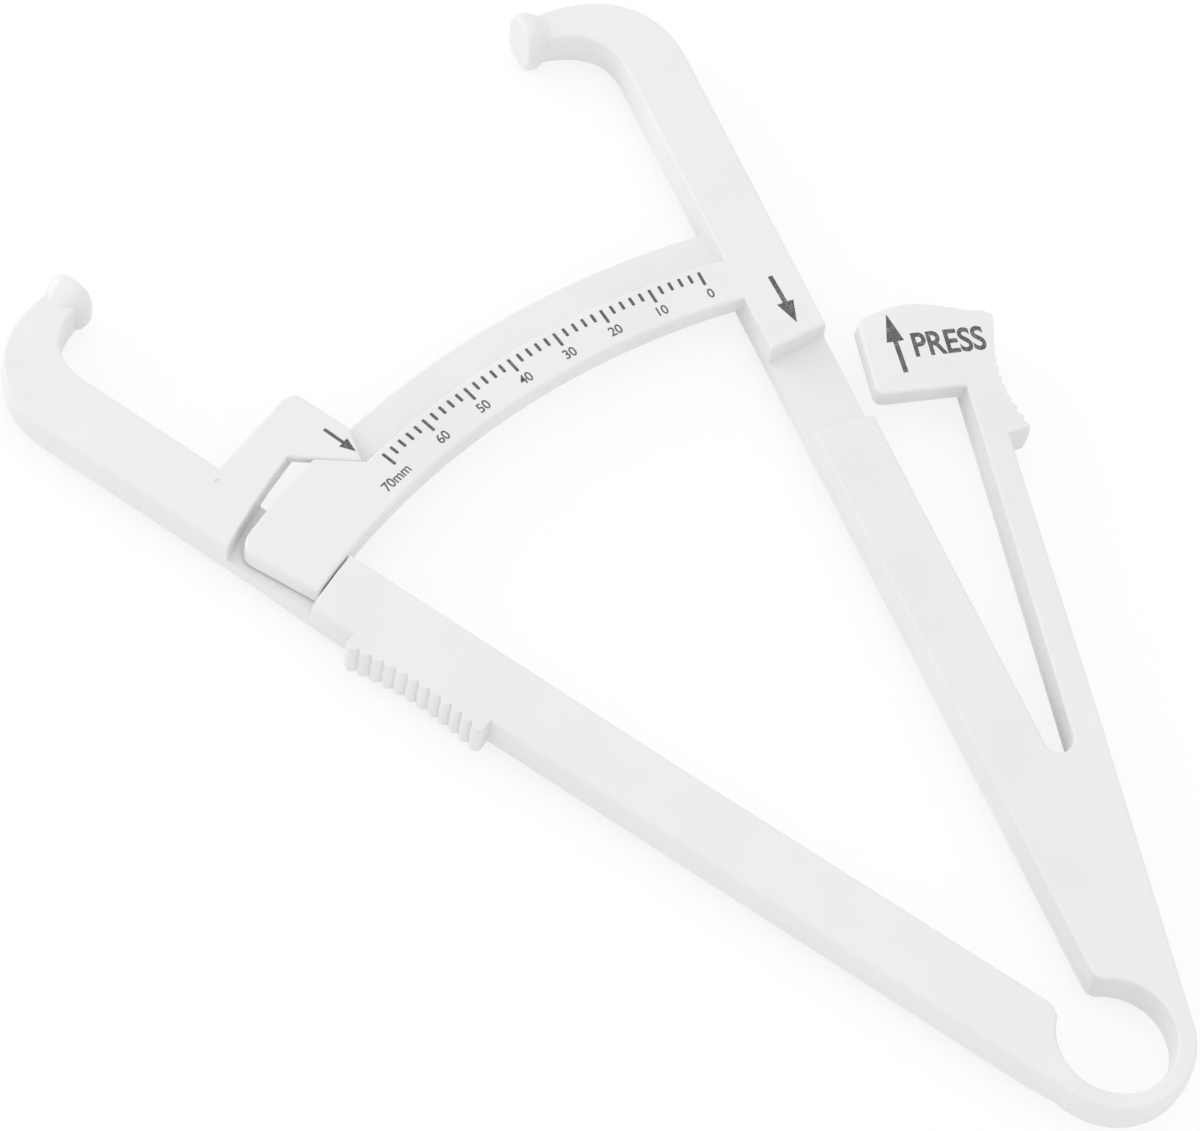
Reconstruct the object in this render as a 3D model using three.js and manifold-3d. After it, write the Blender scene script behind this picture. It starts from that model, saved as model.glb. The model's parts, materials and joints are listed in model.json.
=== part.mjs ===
// A skinfold caliper: two hooked arms joined by a C-shaped living hinge, a curved millimetre scale fixed to
// the right arm, a pointer on the left arm and a sprung press lever beside the right arm.
// Millimetres, +Z up. Everything is laid out round the hinge axis, with the jaws towards +Y. The last lines
// move the whole caliper so that the origin is under the middle of its outline, on the plane it rests on.
import * as THREE from "three";
import { mergeVertices } from "three/addons/utils/BufferGeometryUtils.js";
import Module from "manifold-3d";

const wasm = await Module();
wasm.setup();

// Driving dimensions: levels
const THICKNESS = 5.2; // arms, jaws, lever and hinge ring
const LOWER_TOP = 2.4; // top of the half-thickness bridge and of the slide seat
const UPPER_BOTTOM = 2.75; // underside of what passes over the bridge or the seat
const LEDGE_TOP = 3.5; // top of the outer ledge of the scale
const POINTER_BOTTOM = 3.85; // underside of the pointer, over that ledge
const SEAM = 0.3; // gap between neighbouring members

// Driving dimensions: the two arms
const ARM_WIDTH = 8.1; // the scale arm
const INDEX_WIDTH = 8.35; // the index arm
const SCALE_TILT = 16.45; // degrees from +Y, to the right
const SCALE_FOOT = [1.66, 8.71]; // inner corner of the scale arm at the ring
const INDEX_TILT = 17.4; // degrees from +Y, to the left, from the ring to the bridge
const INDEX_FOOT = [-5.14, 9.04]; // inner corner of the index arm at the ring
const INDEX_UPPER_TILT = 16.5; // degrees from +Y, to the left, above the bridge
const INDEX_UPPER_FOOT = [-6.34, 8.7]; // where the upper inner line would start beside the ring
const HEEL_LENGTH = 29.4; // the wide base that carries the scale arm and the lever
const SEAT_START = 79.7; // along the scale arm
const SEAT_END = 93.0;
const SEAT_SKEW = 1.5; // the far end of the seat is this much further on at its outer side
const HOOK_START = 138.0; // along each arm

// Driving dimensions: hinge, scale and pointer, as radii and angles round the hinge axis
const RING_CENTRE = [-1.5, 1.2];
const RING_HOLE_R = 7.3;
const RING_WALL = 2.1;
const RING_ENDS = [195, 335]; // degrees round the ring's own centre
const SCALE_IN_R = 110.2;
const BAND_OUT_R = 116.5; // step between the raised band and the ledge
const SCALE_OUT_R = 121.6;
const LEDGE_CENTRE = [0.7, 0.23]; // the outer edge of the ledge bends round this point
const BAND_END = 102.5; // degrees, where the band meets the stop tab
const TAB_END = 111.75;
const SHOULDER = [[-25.45, 114.1], [-30.05, 117.82]]; // slanted edge of the stop tab
const BEAM_END_R = 109.7; // the index arm drops to half thickness here
const BRACKET_CENTRE = [13.9, 0]; // the edge beyond the scale bends round this point
const BRACKET_IN_R = 128.3;
const BRACKET_CORNERS = [[-40.31, 123.37], [-27.5, 127.1], [-25.95, 126.7], [-23.6, 119.0]];
const POINTER_TIP = [-25.25, 114.35];
const POINTER_HEEL = [-31.95, 119.7]; // where the pointer's lower edge meets the bracket's inner edge

// Driving dimensions: contact pads
const SCALE_JAW_R = 159.5; // hinge axis to the middle of the contact face on the scale arm
const INDEX_JAW_R = 160.4;
const SCALE_PAD_ANGLE = 77.97; // degrees
const CLOSING_ANGLE = 26.0; // the two faces meet after this turn
const PAD_HALF_HEIGHT = 3.95;
const PAD_SLIMNESS = 0.81; // width of the pad as a share of its height
const PAD_SQUARENESS = 3; // 2 would make the pad oval, a large number a plain block
const PAD_FACE_SHARE = 0.84; // the flat of the contact face, inside its rounded rim
const PAD_BACK_SHARE = 0.7; // where the tapered skirt ends
const PAD_RIM = 0.7; // from the contact face to the widest section
const PAD_WAIST = 1.7; // from the contact face to the start of the skirt
const PAD_DEPTH = 3.4;

// Driving dimensions: the press lever, along it from where it bends and inwards from its outer line
const LEVER_TILT = 27.25; // degrees from +Y
const LEVER_FOOT = [25.28, 33.42];
const LEVER_WIDTH = 3.4;
const FOOT_SPREAD = 0.38; // the blade is this much wider at its foot, on its outer side
const HEEL_SPREAD = 0.3; // how far the heel's outer edge stands outside the lever's line at the ring
const NECK_START = 42.6;
const NECK_END = 62.2;
const HEAD_START = 49.9;
const HEAD_INWARDS = 15.35;
const THUMB_MIDDLE = 51.5; // the thumb edge is hollow round here
const THUMB_REST = 0.25; // how far inwards it lies there, under the ribs
const THUMB_HALF = 7.1; // from its middle to the lowest rib
const THUMB_HOLLOW = 1.3; // depth of the hollow at that rib
const THUMB_STRIP = 0.75; // thickness of the strip that carries the thumb ribs, with its seam

// Driving dimensions: the half-round ribs of both grips
const GRIP_RIBS = 12;
const GRIP_PITCH = 1.64;
const GRIP_RIB_R = 0.78;
const GRIP_START = 73.2; // along the index arm
const GRIP_HEIGHT = 1.65; // how far the strip under the ribs stands off the arm at its ends
const GRIP_HOLLOW = 1.05; // how much less it stands off half way along
const THUMB_RIBS = 7;
const THUMB_PITCH = 1.5;
const THUMB_RIB_R = 0.7;
const THUMB_START = 43.65; // along the lever

const STEP_DEGREES = 2; // spacing of the points along an arc
const BEYOND = 1; // how far a trimming tool passes the faces
const degrees = THREE.MathUtils.degToRad;

const polar = (radius, angle, centre = [0, 0]) => [
  centre[0] + radius * Math.cos(degrees(angle)),
  centre[1] + radius * Math.sin(degrees(angle)),
];

// Points along an arc, both ends included.
function arc(radius, from, to, centre = [0, 0], step = STEP_DEGREES) {
  const count = Math.max(1, Math.ceil(Math.abs(to - from) / step));
  return Array.from({ length: count + 1 }, (_, i) => polar(radius, from + ((to - from) * i) / count, centre));
}

// Points along a cubic curve, its first end left out.
function curve(start, pull1, pull2, end, count = 10) {
  const [a, b, c, d] = [start, pull1, pull2, end].map(([x, y]) => new THREE.Vector2(x, y));
  return new THREE.CubicBezierCurve(a, b, c, d).getPoints(count).slice(1).map((p) => [p.x, p.y]);
}

// A frame laid along a member: from its foot, s runs along it and w across it, away from the other arm.
function frameAlong(foot, tilt, side) {
  const along = [side * Math.sin(degrees(tilt)), Math.cos(degrees(tilt))];
  const across = [side * Math.cos(degrees(tilt)), -Math.sin(degrees(tilt))];
  return (s, w) => [foot[0] + s * along[0] + w * across[0], foot[1] + s * along[1] + w * across[1]];
}
const onScaleArm = frameAlong(SCALE_FOOT, SCALE_TILT, 1);
const onIndexArm = frameAlong(INDEX_FOOT, INDEX_TILT, -1);
const onIndexUpper = frameAlong(INDEX_UPPER_FOOT, INDEX_UPPER_TILT, -1);
const outwardOnLever = frameAlong(LEVER_FOOT, LEVER_TILT, 1);
const onLever = (s, inwards) => outwardOnLever(s, -inwards);

// A flat member: its outline, given by points, filled from one level to another.
function plate(outline, bottom = 0, top = THICKNESS) {
  const shape = new THREE.Shape(outline.map(([x, y]) => new THREE.Vector2(x, y)));
  const upright = { depth: top - bottom, bevelEnabled: false };
  return new THREE.ExtrudeGeometry(shape, upright).translate(0, 0, bottom);
}

// A straight bar along a member, from one station to another and from one side line to another.
const bar = (on, from, to, inner, outer, bottom, top) =>
  plate([on(from, inner), on(to, inner), on(to, outer), on(from, outer)], bottom, top);

function solid(geometry) {
  const bare = geometry.clone();
  bare.deleteAttribute("normal");
  bare.deleteAttribute("uv");
  const merged = mergeVertices(bare, 1e-4);
  return new wasm.Manifold(
    new wasm.Mesh({
      numProp: 3,
      vertProperties: merged.attributes.position.array,
      triVerts: new Uint32Array(merged.index.array),
    }),
  );
}

function geometryOf(made) {
  const mesh = made.getMesh();
  return new THREE.BufferGeometry()
    .setAttribute("position", new THREE.BufferAttribute(mesh.vertProperties, 3))
    .setIndex(new THREE.BufferAttribute(mesh.triVerts, 1));
}

const cut = (piece, ...tools) => geometryOf(tools.reduce((a, tool) => a.subtract(solid(tool)), solid(piece)));
const common = (piece, other) => geometryOf(solid(piece).intersect(solid(other)));

// Trimming tools, taller than the caliper
const tool = (outline) => plate(outline, -BEYOND, THICKNESS + BEYOND);
const disc = (radius, centre = [0, 0]) => tool(arc(radius, 0, 360 - STEP_DEGREES, centre));
const ringHole = () => disc(RING_HOLE_R, RING_CENTRE);
const withinBracket = (inset) => disc(BRACKET_IN_R - inset, BRACKET_CENTRE);

function hingeRing() {
  const gap = THREE.MathUtils.radToDeg(SEAM / RING_HOLE_R);
  const from = RING_ENDS[0] + gap;
  const to = RING_ENDS[1] - gap;
  return plate([
    ...arc(RING_HOLE_R + RING_WALL, from, to, RING_CENTRE, 5),
    ...arc(RING_HOLE_R, to, from, RING_CENTRE, 5),
  ]);
}

// The wide base: the scale arm and the lever grow out of it, and it carries one end of the ring.
function scaleArmHeel() {
  const slotLeft = onScaleArm(HEEL_LENGTH, ARM_WIDTH);
  const slotRight = onLever(-1.5, LEVER_WIDTH);
  const outline = [
    onScaleArm(0.4, 0),
    onScaleArm(HEEL_LENGTH, 0),
    slotLeft,
    ...curve(slotLeft, onLever(-4.2, 6.6), onLever(-4.2, 3.8), slotRight, 8),
    onLever(0, LEVER_WIDTH),
    onLever(0, -FOOT_SPREAD),
    onLever(-37, -HEEL_SPREAD),
    ...arc(RING_HOLE_R + RING_WALL, -12, RING_ENDS[1] - 360, RING_CENTRE, 5),
    polar(RING_HOLE_R - 1, RING_ENDS[1], RING_CENTRE),
    RING_CENTRE,
    onScaleArm(-1.0, 0.8),
    onScaleArm(-0.3, 0.15),
  ];
  return cut(plate(outline), ringHole());
}

// The part of the arm that the press head slides over. Its far end is skew.
function scaleArmSeat() {
  const outline = [
    onScaleArm(SEAT_START, 0),
    onScaleArm(SEAT_END, 0),
    onScaleArm(SEAT_END + SEAT_SKEW, ARM_WIDTH),
    onScaleArm(SEAT_START, ARM_WIDTH),
  ];
  return plate(outline, 0, LOWER_TOP);
}

function scaleArmUpper() {
  return plate([
    onScaleArm(SEAT_END + SEAM, 0),
    onScaleArm(HOOK_START - SEAM, 0),
    onScaleArm(HOOK_START - SEAM, ARM_WIDTH),
    onScaleArm(SEAT_END + SEAT_SKEW + SEAM, ARM_WIDTH),
  ]);
}

// One side of a squared-off circle: its distance from the middle line, for the sine or cosine of an angle.
const squareOff = (share) => Math.sign(share) * Math.abs(share) ** (2 / PAD_SQUARENESS);

// A contact pad: a knob whose axis is square to the jaw's radius, its flat face towards the other pad.
// Its sections are squared-off circles, and behind its widest part a skirt tapers towards the hook.
function pad(jawR, angle, side) {
  const [x, y] = polar(jawR, angle);
  const profile = [
    [0, -PAD_DEPTH],
    [PAD_BACK_SHARE, -PAD_DEPTH],
    [1, -PAD_WAIST],
    [1, -PAD_RIM],
    [PAD_FACE_SHARE, 0],
    [0, 0],
  ];
  const knob = new THREE.LatheGeometry(profile.map(([share, depth]) => new THREE.Vector2(share, depth)), 36);
  const points = knob.attributes.position;
  for (let i = 0; i < points.count; i += 1) {
    const share = Math.hypot(points.getX(i), points.getZ(i));
    const size = share * PAD_HALF_HEIGHT;
    const across = share > 0 ? squareOff(points.getX(i) / share) : 0;
    const upwards = share > 0 ? squareOff(points.getZ(i) / share) : 0;
    points.setX(i, size * PAD_SLIMNESS * across);
    points.setZ(i, size * upwards);
  }
  return knob
    .rotateZ(degrees(side * 90))
    .rotateZ(degrees(angle - 90))
    .translate(x, y, THICKNESS / 2);
}

// The hook: the arm bends inwards, tapers to half its width and ends behind the pad.
function hook(on, width, jawR, padAngle, side) {
  const behindPad = (offset) => {
    const [x, y] = polar(jawR + offset, padAngle);
    const [dx, dy] = polar(PAD_DEPTH + SEAM, padAngle - side * 90);
    return [x + dx, y + dy];
  };
  const innerStart = on(140.5, 0);
  const innerEnd = behindPad(-2.4);
  const outerStart = behindPad(1.35);
  const outerEnd = on(139.5, width);
  return plate([
    on(HOOK_START, 0),
    innerStart,
    ...curve(innerStart, on(145.6, 0), on(148.1, -3.4), innerEnd),
    outerStart,
    ...curve(outerStart, on(153.8, -2.6), on(152, width), outerEnd, 14),
    on(HOOK_START, width),
  ]);
}

// One track of the scale, from the scale arm to the given angle.
function scaleTrack(inner, outer, end, top, outerCentre = [0, 0]) {
  const start = 72;
  const outline = [...arc(outer, start, end, outerCentre), ...arc(inner, end, start)];
  const track = plate(outline, UPPER_BOTTOM, top);
  const arm = tool([
    onScaleArm(90, -SEAM),
    onScaleArm(130, -SEAM),
    onScaleArm(130, 2 * ARM_WIDTH),
    onScaleArm(90, 2 * ARM_WIDTH),
  ]);
  return cut(track, arm);
}

const scaleArcBand = () => scaleTrack(SCALE_IN_R, BAND_OUT_R, BAND_END, THICKNESS);

// The ledge runs on under the pointer, up to the slanted edge of the stop tab.
function scaleArcLedge() {
  const [low, high] = SHOULDER;
  const track = scaleTrack(BAND_OUT_R + SEAM, SCALE_OUT_R, BAND_END + 4, LEDGE_TOP, LEDGE_CENTRE);
  const beyond = tool([
    [low[0] + 1.5, low[1] - 0.5],
    [high[0] - 1, high[1] + 1.25],
    [high[0] - 10, high[1]],
    [low[0] - 10, low[1] - 10],
  ]);
  return cut(track, beyond);
}

// The stop tab: as wide as band and ledge together. Its slanted edge stops the pointer of the open jaws.
function scaleStopTab() {
  const start = BAND_END + THREE.MathUtils.radToDeg(SEAM / SCALE_IN_R);
  const corner = [
    polar(SCALE_OUT_R, TAB_END - 1.4),
    polar(SCALE_OUT_R, TAB_END - 0.5),
    polar(SCALE_OUT_R - 0.6, TAB_END),
    polar(SCALE_OUT_R - 2.2, TAB_END),
  ];
  return plate(
    [
      ...SHOULDER,
      ...arc(SCALE_OUT_R, 104.6, TAB_END - 1.4),
      ...curve(...corner, 5),
      ...arc(SCALE_IN_R, TAB_END, start),
    ],
    UPPER_BOTTOM,
  );
}

function indexArmBeam() {
  const beam = plate([
    onIndexArm(0.4, 0),
    onIndexArm(105, 0),
    onIndexArm(105, INDEX_WIDTH),
    onIndexArm(-3.0, INDEX_WIDTH),
    ...arc(RING_HOLE_R + RING_WALL, 186, RING_ENDS[0], RING_CENTRE, 5),
    polar(RING_HOLE_R - 1, RING_ENDS[0], RING_CENTRE),
    RING_CENTRE,
    onIndexArm(-1.2, 0.9),
    onIndexArm(-0.4, 0.15),
  ]);
  return cut(common(beam, disc(BEAM_END_R)), ringHole());
}

// The outline of one half-round rib, along its member from one foot to the other.
const rib = (on, s, w, radius, side) =>
  arc(radius, 180, 0, [s, 0], 20).map(([along, off]) => on(along, w + side * off));

// A strip of upright half-round ribs along the outer side of the index arm. It is hollowed for the fingers.
function fingerGrip() {
  const length = GRIP_RIBS * GRIP_PITCH;
  const outer = INDEX_WIDTH + GRIP_HEIGHT;
  const ribs = Array.from({ length: GRIP_RIBS }, (_, i) => {
    const along = (i + 0.5) * GRIP_PITCH;
    const fromMiddle = (2 * along) / length - 1;
    const foot = outer - GRIP_HOLLOW * (1 - fromMiddle ** 2);
    return rib(onIndexArm, GRIP_START + along, foot, GRIP_RIB_R, 1);
  });
  return plate([
    onIndexArm(GRIP_START, INDEX_WIDTH + SEAM),
    onIndexArm(GRIP_START, outer),
    ...ribs.flat(),
    onIndexArm(GRIP_START + length, outer),
    onIndexArm(GRIP_START + length, INDEX_WIDTH + SEAM),
  ]);
}

// The half-thickness bridge that passes under the scale.
function indexArmBridge() {
  const bridge = plate(
    [onIndexArm(90, 0), onIndexUpper(125, 0), onIndexUpper(125, INDEX_WIDTH), onIndexArm(90, INDEX_WIDTH)],
    0,
    LOWER_TOP,
  );
  return cut(common(bridge, withinBracket(SEAM)), disc(BEAM_END_R + SEAM));
}

const indexArmUpper = () =>
  cut(bar(onIndexUpper, 105, HOOK_START - SEAM, 0, INDEX_WIDTH), withinBracket(0));

// The bracket reaches from the index arm over the gap between the arms, at half thickness.
function indexBracket() {
  const [root, left, right, low] = BRACKET_CORNERS;
  const plank = plate(
    [
      onIndexUpper(110, -SEAM),
      [root[0] + SEAM, root[1] + 0.1],
      left,
      [(left[0] + right[0]) / 2, left[1] + 0.05],
      right,
      low,
      POINTER_TIP,
    ],
    UPPER_BOTTOM,
  );
  return cut(plank, withinBracket(0));
}

// The pointer: a thin tongue below the bracket, over the ledge of the scale.
function indexPointer() {
  const [, left, right, low] = BRACKET_CORNERS;
  const tongue = plate([right, low, POINTER_TIP, POINTER_HEEL, left], POINTER_BOTTOM);
  return common(tongue, withinBracket(SEAM));
}

// The hollow line that the thumb rests on: how far inwards it lies at a station of the lever.
const thumbInwards = (s) => THUMB_REST - THUMB_HOLLOW * ((s - THUMB_MIDDLE) / THUMB_HALF) ** 2;

// Points along that line, from the far end of the ribs to their near end, moved outwards by a distance.
function thumbLine(outwards, beyond = 0) {
  const far = THUMB_START + THUMB_RIBS * THUMB_PITCH + beyond;
  return Array.from({ length: THUMB_RIBS + 1 }, (_, i) => {
    const s = far + ((THUMB_START - far) * i) / THUMB_RIBS;
    return onLever(s, thumbInwards(s) - outwards);
  });
}

// The blade that bends. It is widest at its foot.
function leverBeam() {
  const end = NECK_START - SEAM;
  return plate([
    onLever(SEAM, -FOOT_SPREAD),
    onLever(SEAM, LEVER_WIDTH),
    onLever(end, LEVER_WIDTH),
    onLever(end, 0),
  ]);
}

// The neck carries the head on one side and the thumb ribs on the other. Beyond the ribs its edge is plain.
function leverNeck() {
  const plainStart = THUMB_START + THUMB_RIBS * THUMB_PITCH + SEAM;
  return plate([
    onLever(NECK_START, LEVER_WIDTH),
    onLever(NECK_END, LEVER_WIDTH),
    onLever(62.0, 2.5),
    onLever(61.2, 0.1),
    onLever(60.9, -1.7),
    onLever(60.4, -2.4),
    onLever(59.6, -2.5),
    onLever(plainStart, -1.35),
    ...thumbLine(0, SEAM),
    onLever(NECK_START, -1.2),
  ]);
}

function thumbGrip() {
  const ribs = Array.from({ length: THUMB_RIBS }, (_, i) => {
    const s = THUMB_START + (i + 0.5) * THUMB_PITCH;
    return rib(onLever, s, thumbInwards(s) - THUMB_STRIP, THUMB_RIB_R, -1);
  });
  return plate([...thumbLine(SEAM), ...ribs.flat()]);
}

// The wedge below the thumb edge.
function leverCatch() {
  return plate([
    onLever(NECK_START - 0.3, -SEAM),
    onLever(NECK_START + 0.2, -3.15),
    onLever(NECK_START + 0.5, -3.2),
    onLever(NECK_START + 0.6, -3.0),
    onLever(NECK_START - SEAM + 0.25, -1.5),
    onLever(NECK_START - SEAM, -SEAM),
  ]);
}

// The press head: a half-thickness plate that slides over the seat until the two arrows meet.
function pressHead() {
  const side = LEVER_WIDTH + SEAM;
  const near = onLever(NECK_END, side);
  const farTop = onLever(62.0, 13.6);
  const corner = onLever(59.9, HEAD_INWARDS);
  const farLow = onLever(51.3, HEAD_INWARDS);
  const end = onLever(HEAD_START, 14.2);
  return plate(
    [
      onLever(HEAD_START, side),
      near,
      ...curve(near, onLever(63.3, 6.9), onLever(63.7, 9.2), farTop, 8),
      ...curve(farTop, onLever(61.6, 14.9), onLever(61.2, HEAD_INWARDS), corner, 5),
      farLow,
      ...curve(farLow, onLever(50.4, HEAD_INWARDS), onLever(HEAD_START, 15.0), end, 4),
    ],
    UPPER_BOTTOM,
  );
}

const white = new THREE.MeshStandardMaterial({ color: 0xeeeeec, roughness: 0.42, metalness: 0 });
const caliper = new THREE.Group();

function add(name, geometry) {
  const mesh = new THREE.Mesh(geometry, white);
  mesh.name = name;
  caliper.add(mesh);
}

const indexPadAngle = SCALE_PAD_ANGLE + CLOSING_ANGLE;

add("hinge_ring", hingeRing());
add("scale_arm_heel", scaleArmHeel());
add("scale_arm_beam", bar(onScaleArm, HEEL_LENGTH + SEAM, SEAT_START - SEAM, 0, ARM_WIDTH));
add("scale_arm_seat", scaleArmSeat());
add("scale_arm_upper", scaleArmUpper());
add("scale_jaw_hook", hook(onScaleArm, ARM_WIDTH, SCALE_JAW_R, SCALE_PAD_ANGLE, 1));
add("scale_jaw_pad", pad(SCALE_JAW_R, SCALE_PAD_ANGLE, 1));
add("scale_arc_band", scaleArcBand());
add("scale_arc_ledge", scaleArcLedge());
add("scale_stop_tab", scaleStopTab());
add("index_arm_beam", indexArmBeam());
add("finger_grip", fingerGrip());
add("index_arm_bridge", indexArmBridge());
add("index_arm_upper", indexArmUpper());
add("index_jaw_hook", hook(onIndexUpper, INDEX_WIDTH, INDEX_JAW_R, indexPadAngle, -1));
add("index_jaw_pad", pad(INDEX_JAW_R, indexPadAngle, -1));
add("index_bracket", indexBracket());
add("index_pointer", indexPointer());
add("lever_beam", leverBeam());
add("lever_neck", leverNeck());
add("thumb_grip", thumbGrip());
add("lever_catch", leverCatch());
add("press_head", pressHead());

const outline = new THREE.Box3().setFromObject(caliper);
const middle = outline.getCenter(new THREE.Vector3());
caliper.position.set(-middle.x, -middle.y, -outline.min.z);

export default caliper;
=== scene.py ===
# %% [markdown]
# # A skinfold caliper in white plastic
# The real caliper is one injection moulding: two hooked arms, a C-shaped ring that joins them and bends when
# they close, a curved scale that stands off one arm, a bracket with a pointer on the other, and a sprung
# press lever. This lesson dresses the imported part: rounded mouldings, printed ink, plastic and studio light.
#
# The frame comes first, because it fixes the size.

# %% Load the imported part
import json
import math

import bmesh
import bpy
from mathutils import Matrix, Vector


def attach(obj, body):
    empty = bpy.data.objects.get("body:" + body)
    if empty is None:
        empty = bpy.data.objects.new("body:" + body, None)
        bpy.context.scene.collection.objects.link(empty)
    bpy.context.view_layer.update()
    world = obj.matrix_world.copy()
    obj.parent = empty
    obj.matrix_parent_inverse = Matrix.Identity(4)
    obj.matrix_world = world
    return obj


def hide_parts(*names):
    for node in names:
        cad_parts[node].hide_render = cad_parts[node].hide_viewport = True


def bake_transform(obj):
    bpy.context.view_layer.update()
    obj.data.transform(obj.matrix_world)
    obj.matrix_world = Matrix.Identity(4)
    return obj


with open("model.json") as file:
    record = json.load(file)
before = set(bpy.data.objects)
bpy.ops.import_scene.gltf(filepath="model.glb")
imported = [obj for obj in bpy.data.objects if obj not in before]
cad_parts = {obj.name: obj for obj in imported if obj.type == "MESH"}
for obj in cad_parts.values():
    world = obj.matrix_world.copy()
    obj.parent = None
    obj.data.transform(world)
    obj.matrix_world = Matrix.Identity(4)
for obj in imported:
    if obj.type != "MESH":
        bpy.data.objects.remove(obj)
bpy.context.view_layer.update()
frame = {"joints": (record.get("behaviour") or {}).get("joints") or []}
arm_hinge = next(joint for joint in frame["joints"] if joint["name"] == "arm_hinge")
print("hinge axis of the arms at", arm_hinge["pos_m"])

# %% [markdown]
# ## Working round the hinge
# The drawing of such a caliper starts at the hinge axis: the scale is an arc round it, and the jaws swing on
# it. So every outline here is laid out in millimetres round that axis, with the underside at 0, and each
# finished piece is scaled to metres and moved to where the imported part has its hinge.

# %% Levels, and the move from the drawing to the frame
THICKNESS = 5.2  # arms, jaws, lever and ring
MIDDLE = THICKNESS / 2
LOWER_TOP = 2.4  # top of the bridge and of the seat
UPPER_BOTTOM = 2.75  # underside of the scale, the bracket and the press head
LEDGE_TOP = 3.5
POINTER_BOTTOM = 3.85
MM = 0.001

to_frame = Matrix.Translation(Vector(arm_hinge["pos_m"])) @ Matrix.Scale(MM, 4)
to_frame = to_frame @ Matrix.Translation((0, 0, -MIDDLE))


def in_frame(x, y, z=MIDDLE):
    """A point of the drawing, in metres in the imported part's frame."""
    return tuple(to_frame @ Vector((x, y, z)))


print("underside of the arms at z", round(in_frame(0, 0, 0)[2], 5))

# %% [markdown]
# ## Arcs, curves and frames along a member
# Four small helpers draw every outline: a point at a radius and an angle, an arc, a cubic curve, and a frame
# that runs along an arm. In that frame s is the distance along the arm and w the distance across it, away
# from the other arm, so that a station on the arm can be written down as it would be measured.

# %% Drawing helpers
def polar(radius, angle, centre=(0.0, 0.0)):
    turn = math.radians(angle)
    return (centre[0] + radius * math.cos(turn), centre[1] + radius * math.sin(turn))


def arc(radius, start, end, centre=(0.0, 0.0), step=2.0):
    count = max(1, math.ceil(abs(end - start) / step))
    return [polar(radius, start + (end - start) * i / count, centre) for i in range(count + 1)]


def curve(start, pull1, pull2, end, count=10):
    """Points along a cubic curve, its first end left out; the two pulls bend it."""
    points = []
    for i in range(1, count + 1):
        t = i / count
        shares = ((1 - t) ** 3, 3 * t * (1 - t) ** 2, 3 * t * t * (1 - t), t ** 3)
        points.append(tuple(
            sum(share * p[axis] for share, p in zip(shares, (start, pull1, pull2, end)))
            for axis in (0, 1)
        ))
    return points


def frame_along(foot, tilt, side):
    """Makes the function that turns s and w into a point, for a member that starts at its foot."""
    lean = math.radians(tilt)
    along = (side * math.sin(lean), math.cos(lean))
    across = (side * math.cos(lean), -math.sin(lean))

    def on(s, w):
        return (foot[0] + s * along[0] + w * across[0], foot[1] + s * along[1] + w * across[1])

    return on


ARM_WIDTH = 8.1
INDEX_WIDTH = 8.35
LEVER_TILT = 27.25
HOOK_START = 140.5
on_scale_arm = frame_along((1.66, 8.71), 16.45, 1)
on_index_arm = frame_along((-5.14, 9.04), 17.4, -1)
on_index_upper = frame_along((-6.34, 8.7), 16.5, -1)
outward_on_lever = frame_along((25.28, 33.42), LEVER_TILT, 1)


def on_lever(s, inwards):
    """The lever is measured inwards from its outer edge, towards the arm that carries it."""
    return outward_on_lever(s, -inwards)


print("end of the scale arm's straight part", [round(v, 1) for v in on_scale_arm(HOOK_START, 0)])

# %% [markdown]
# ## Plates and trimming tools
# Each member is a flat plate with its own outline and levels. One mesh per moulding is wanted, since the
# real one has no joints. The plates could be fused by hand, vertex by vertex; an exact boolean does the same
# and keeps the outlines readable, so plates are added and trimming tools taken away with it.

# %% Plates, unions and cuts
def area_of(outline):
    """The area inside an outline, below zero where it runs clockwise."""
    turned = outline[1:] + outline[:1]
    return sum(a[0] * b[1] - b[0] * a[1] for a, b in zip(outline, turned)) / 2


def prism(shape, outline, bottom, top):
    """Adds an upright prism to a shape, from one level to another."""
    points = outline if area_of(outline) > 0 else outline[::-1]
    low = [shape.verts.new((x, y, bottom)) for x, y in points]
    high = [shape.verts.new((x, y, top)) for x, y in points]
    shape.faces.new(low[::-1])
    shape.faces.new(high)
    for i in range(len(points)):
        j = (i + 1) % len(points)
        shape.faces.new((low[i], low[j], high[j], high[i]))


def piece_from(shape, name):
    """Turns a finished shape into a piece of its own."""
    mesh = bpy.data.meshes.new(name)
    shape.to_mesh(mesh)
    shape.free()
    piece = bpy.data.objects.new(name, mesh)
    bpy.context.scene.collection.objects.link(piece)
    return piece


BELOW_ALL = -1
ABOVE_ALL = THICKNESS + 1


def plate(outline, bottom=0.0, top=THICKNESS):
    shape = bmesh.new()
    prism(shape, outline, bottom, top)
    return piece_from(shape, "plate")


def work_in(piece):
    """Works the piece's modifiers into its mesh."""
    bpy.context.view_layer.update()
    depsgraph = bpy.context.evaluated_depsgraph_get()
    worked = bpy.data.meshes.new_from_object(piece.evaluated_get(depsgraph))
    bare = piece.data
    piece.modifiers.clear()
    piece.data = worked
    bpy.data.meshes.remove(bare)


def combine(piece, other, how):
    step = piece.modifiers.new("combine", "BOOLEAN")
    step.operation = how
    step.solver = "EXACT"
    step.object = other
    work_in(piece)
    bpy.data.objects.remove(other)


def add(piece, other):
    combine(piece, other, "UNION")


def cut(piece, tool):
    combine(piece, tool, "DIFFERENCE")


print("a plain plate is", THICKNESS, "mm thick")

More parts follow.
